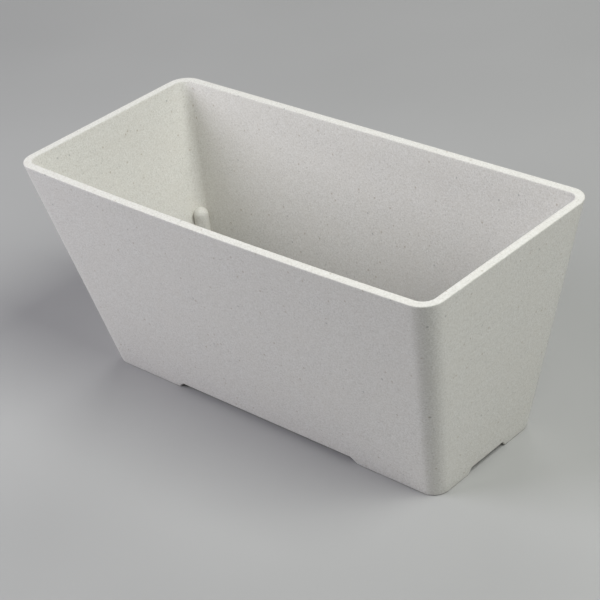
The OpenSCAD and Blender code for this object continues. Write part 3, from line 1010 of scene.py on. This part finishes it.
def make_filler(charcoal, pin_steel):
    seat = mm_box("fill_tube")[1].z
    bottom = mm_box("fill_tube")[0].z
    stop = DECK_TOP + 9
    tube = turned("tube", [
        (TUBE_BORE, bottom), (TUBE_RADIUS, bottom), (TUBE_RADIUS, stop), (TUBE_SOCKET, stop),
        (TUBE_SOCKET, stop + 2.5), (TUBE_RADIUS, stop + 2.5), (TUBE_RADIUS, seat), (TUBE_BORE, seat),
    ], FILL_PLACE, 0.5)
    stand_in(tube, "fill_tube", charcoal)

    top = seat + 9
    hinge_x = FILL_PLACE.x + HINGE_ARM
    hinge_z = top + 1.3
    funnel = turned("funnel", [
        (TUBE_RADIUS, seat - 10), (TUBE_RADIUS + 2, seat - 10), (TUBE_RADIUS + 2, seat - 2),
        (FUNNEL_RADIUS, seat + 4), (FUNNEL_RADIUS, top), (FUNNEL_RADIUS - 1.6, top),
        (FUNNEL_RADIUS - 1.6, seat + 5), (TUBE_BORE, seat), (TUBE_RADIUS, seat),
    ], FILL_PLACE, 0.5)
    bm = bmesh.new()
    inset = FILL_PLACE.x + FUNNEL_RADIUS - 1.2
    eye = [
        (hinge_x + KNUCKLE_RADIUS * math.cos(a), hinge_z + KNUCKLE_RADIUS * math.sin(a))
        for a in [math.pi * i / 16 for i in range(17)]
    ]
    ear = [(inset, seat + 2), (hinge_x + 0.5, seat + 2), (hinge_x + KNUCKLE_RADIUS, seat + 4.5)]
    ear += eye + [(hinge_x - KNUCKLE_RADIUS, top - 0.3), (inset, top - 0.3)]
    for s in (-1, 1):
        y = FILL_PLACE.y + s * EAR_CENTRE
        add_prism(
            bm,
            [(x, y - EAR_WIDTH / 2, z) for x, z in ear],
            [(x, y + EAR_WIDTH / 2, z) for x, z in ear],
        )
    boolean(funnel, mm_object("ears", bm), "UNION")
    span = 3 * EAR_CENTRE / 2
    drill = (hinge_x, hinge_z, FILL_PLACE.y - span, FILL_PLACE.y + span)
    boolean(funnel, lying_disc(PIN_RADIUS, *drill), "DIFFERENCE")
    stand_in(funnel, "fill_funnel", charcoal)

    low = top + 0.2
    high = low + 2.2
    rim = FUNNEL_RADIUS
    lid = turned("lid", [
        (0, low), (14.2, low), (14.2, low - 2), (15.4, low - 2), (15.4, low), (rim, low),
        (rim, high), (rim - 2.5, high), (rim - 3, high - 0.4), (0, high - 0.4),
    ], FILL_PLACE, 0.5)
    bm = bmesh.new()
    reach = FILL_PLACE.x - rim - 6
    tab = rounded([
        (reach, FILL_PLACE.y - 6), (FILL_PLACE.x - rim + 2, FILL_PLACE.y - 6),
        (FILL_PLACE.x - rim + 2, FILL_PLACE.y + 6), (reach, FILL_PLACE.y + 6),
    ], 2.5, 6)
    add_prism(bm, [(*p, low + 0.1) for p in tab], [(*p, high - 0.5) for p in tab])
    half = KNUCKLE_WIDTH / 2
    x0, x1 = FILL_PLACE.x + rim - 1.5, hinge_x
    bridge = ((x0, -half), (x1, -half), (x1, half), (x0, half))
    add_prism(
        bm,
        [(x, FILL_PLACE.y + y, low + 0.05) for x, y in bridge],
        [(x, FILL_PLACE.y + y, high - 0.05) for x, y in bridge],
    )
    boolean(lid, mm_object("tab_and_bridge", bm), "UNION")
    bm = bmesh.new()
    for k in range(3):
        x = reach + 1.2 + 1.5 * k
        foot = ((0, -4.5), (0.7, -4.5), (0.7, 4.5), (0, 4.5))
        crest = ((0.15, -4.3), (0.55, -4.3), (0.55, 4.3), (0.15, 4.3))
        add_prism(
            bm,
            [(x + a, FILL_PLACE.y + b, high - 0.8) for a, b in foot],
            [(x + a, FILL_PLACE.y + b, high) for a, b in crest],
        )
    boolean(lid, mm_object("grips", bm), "UNION")
    boolean(lid, lying_disc(
        KNUCKLE_RADIUS, hinge_x, hinge_z, FILL_PLACE.y - half, FILL_PLACE.y + half,
    ), "UNION")
    boolean(lid, lying_disc(PIN_RADIUS + 0.05, *drill), "DIFFERENCE")
    stand_in(lid, "fill_lid", charcoal)

    length = EAR_CENTRE + EAR_WIDTH / 2 + 0.5
    pin = turned("pin", [
        (0, -length - 0.4), (PIN_RADIUS + 0.7, -length - 0.4), (PIN_RADIUS + 0.7, -length + 0.4),
        (PIN_RADIUS, -length + 0.4), (PIN_RADIUS, length - 0.4), (PIN_RADIUS + 0.7, length - 0.4),
        (PIN_RADIUS + 0.7, length + 0.4), (0, length + 0.4),
    ], Vector((0, 0)), 0.25, 32)
    lie = Matrix.Translation(Vector((hinge_x, FILL_PLACE.y, hinge_z)) * MM)
    pin.data.transform(lie @ Matrix.Rotation(math.pi / 2, 4, "X"))
    stand_in(pin, "lid_hinge_pin", pin_steel)


def make_gauge(basket_plastic, charcoal, clear, orange, white, red):
    low = mm_box("float_cage")[0].z
    cage = turned("cage", [
        (CAGE_BORE - 3, low), (CAGE_RADIUS, low), (CAGE_RADIUS, DECK_BOTTOM),
        (CAGE_BORE, DECK_BOTTOM), (CAGE_BORE, low + 1.2), (CAGE_BORE - 3, low + 1.2),
    ], GAUGE_PLACE, 0.4)
    windows = slot_cutters(GAUGE_PLACE, 6, CAGE_BORE - 2, CAGE_RADIUS + 2, 6, low + 4, low + 30)
    boolean(cage, windows, "DIFFERENCE")
    stand_in(cage, "float_cage", basket_plastic)

    top = mm_box("gauge_tube")[1].z
    tip = mm_box("indicator_tip")[0].z
    outline = [(GAUGE_BORE, DECK_TOP), (GAUGE_RADIUS, DECK_TOP)]
    for z in (tip + 4, tip + 24):
        outline += [
            (GAUGE_RADIUS, z - 0.6), (GAUGE_RADIUS + 0.6, z - 0.4),
            (GAUGE_RADIUS + 0.6, z + 0.4), (GAUGE_RADIUS, z + 0.6),
        ]
    outline += [(GAUGE_RADIUS, top), (GAUGE_BORE, top)]
    stand_in(turned("tube", outline, GAUGE_PLACE, 0.3), "gauge_tube", clear)

    rim = GAUGE_RADIUS + 1.6
    cap = turned("cap", [
        (0, top), (GAUGE_RADIUS + 0.1, top), (GAUGE_RADIUS + 0.1, top - 5), (rim, top - 5),
        (rim, top + 3), (rim - 2, top + 4.5), (0, top + 4.5),
    ], GAUGE_PLACE, 0.6)
    flutes = [
        (
            GAUGE_PLACE.x + (rim + 0.3) * math.cos(TAU * k / 12),
            GAUGE_PLACE.y + (rim + 0.3) * math.sin(TAU * k / 12),
        )
        for k in range(12)
    ]
    boolean(cap, upright_pegs(flutes, 0.9, top - 6, top + 2.5, 20), "DIFFERENCE")
    stand_in(cap, "gauge_cap", charcoal)

    low, high = (corner.z for corner in mm_box("float_body"))
    waist = (low + high) / 2
    body = turned("float", [
        (ROD_RADIUS, low), (10, low), (12, low + 2), (12, waist - 0.8), (11.5, waist - 0.4),
        (11.5, waist + 0.4), (12, waist + 0.8), (12, high - 2), (10, high), (ROD_RADIUS, high),
    ], GAUGE_PLACE, 0.8)
    stand_in(body, "float_body", orange)
    low, high = (corner.z for corner in mm_box("float_rod"))
    rod = turned("rod", [(0, low), (ROD_RADIUS, low), (ROD_RADIUS, high), (0, high)], GAUGE_PLACE, 0.3, 32)
    stand_in(rod, "float_rod", white)
    low, high = (corner.z for corner in mm_box("indicator_tip"))
    pointer = turned("tip", [
        (0, low + 5), (ROD_RADIUS, low + 5), (ROD_RADIUS, low), (4.8, low), (5.8, low + 1),
        (5.8, high - 2), (3.8, high), (0, high),
    ], GAUGE_PLACE, 0.4, 48)
    stand_in(pointer, "indicator_tip", red)


def make_kit():
    charcoal = moulded_plastic("charcoal_plastic", (0.020, 0.021, 0.022), (0.032, 0.033, 0.034), 0.48)
    basket = moulded_plastic("basket_plastic", (0.028, 0.029, 0.029), (0.042, 0.043, 0.043), 0.42)
    grey = moulded_plastic("grey_pipe", (0.075, 0.078, 0.082), (0.10, 0.105, 0.11), 0.38)
    rubber = moulded_plastic("black_rubber", (0.010, 0.010, 0.010), (0.018, 0.018, 0.018), 0.72)
    orange = moulded_plastic("float_orange", (0.62, 0.14, 0.02), (0.72, 0.19, 0.03), 0.34)
    white = moulded_plastic("rod_white", (0.66, 0.66, 0.63), (0.76, 0.76, 0.73), 0.3)
    red = moulded_plastic("tip_red", (0.45, 0.02, 0.015), (0.55, 0.03, 0.02), 0.25)
    make_overflow(rubber, grey)
    make_plug(rubber)
    make_platform(charcoal)
    make_basket("wicking_basket_left", BASKET_PLACES[0], basket)
    make_basket("wicking_basket_right", BASKET_PLACES[1], basket)
    make_filler(charcoal, steel())
    make_gauge(basket, charcoal, clear_plastic(), orange, white, red)


# ------------------------------------------------------------------ studio


def make_floor():
    bm = bmesh.new()
    half = 6.0
    bm.faces.new([bm.verts.new((x * half, y * half, 0)) for x, y in ((-1, -1), (1, -1), (1, 1), (-1, 1))])
    floor = new_object("floor", bm)
    n = Nodes("pale_floor")
    tone = n.mix(n.remap(n.noise(3.0, 2.0), 0.3, 0.7), (0.44, 0.44, 0.44), (0.47, 0.47, 0.47))
    n.link(tone, n.shader.inputs["Base Color"])
    n.set(Roughness=0.9, Specular_IOR_Level=0.1)
    floor.data.materials.append(n.material)


def softbox(name, azimuth, elevation, distance, size, power, colour):
    """A square soft light aimed at the tub. Azimuth 0 shines along +Y, 90 along -X."""
    turn, rise = math.radians(azimuth), math.radians(elevation)
    way = Vector((
        math.sin(turn) * math.cos(rise),
        -math.cos(turn) * math.cos(rise),
        math.sin(rise),
    ))
    data = bpy.data.lights.new(name, "AREA")
    data.shape = "SQUARE"
    data.size = size
    data.energy = power
    data.color = colour
    light = bpy.data.objects.new(name, data)
    bpy.context.scene.collection.objects.link(light)
    light.location = Vector((0, 0, 0.12)) + way * distance
    light.rotation_euler = (-way).to_track_quat("-Z", "Y").to_euler()


def make_light():
    world = bpy.data.worlds.new("studio")
    world.use_nodes = True
    background = world.node_tree.nodes["Background"]
    background.inputs["Color"].default_value = (0.97, 0.98, 1.0, 1)
    background.inputs["Strength"].default_value = 0.02
    bpy.context.scene.world = world
    softbox("left_softbox", -42, 30, 1.8, 1.2, 20.5, (0.938, 0.926, 1.0))
    softbox("right_softbox", 95, 55, 2.2, 1.2, 39, (0.977, 1.0, 0.951))
    softbox("rear_softbox", -150, 30, 2.4, 1.2, 14, (1.0, 1.0, 1.0))


make_camera()
make_floor()
make_light()
make_tub()
make_kit()
bpy.context.scene.view_settings.view_transform = "Standard"
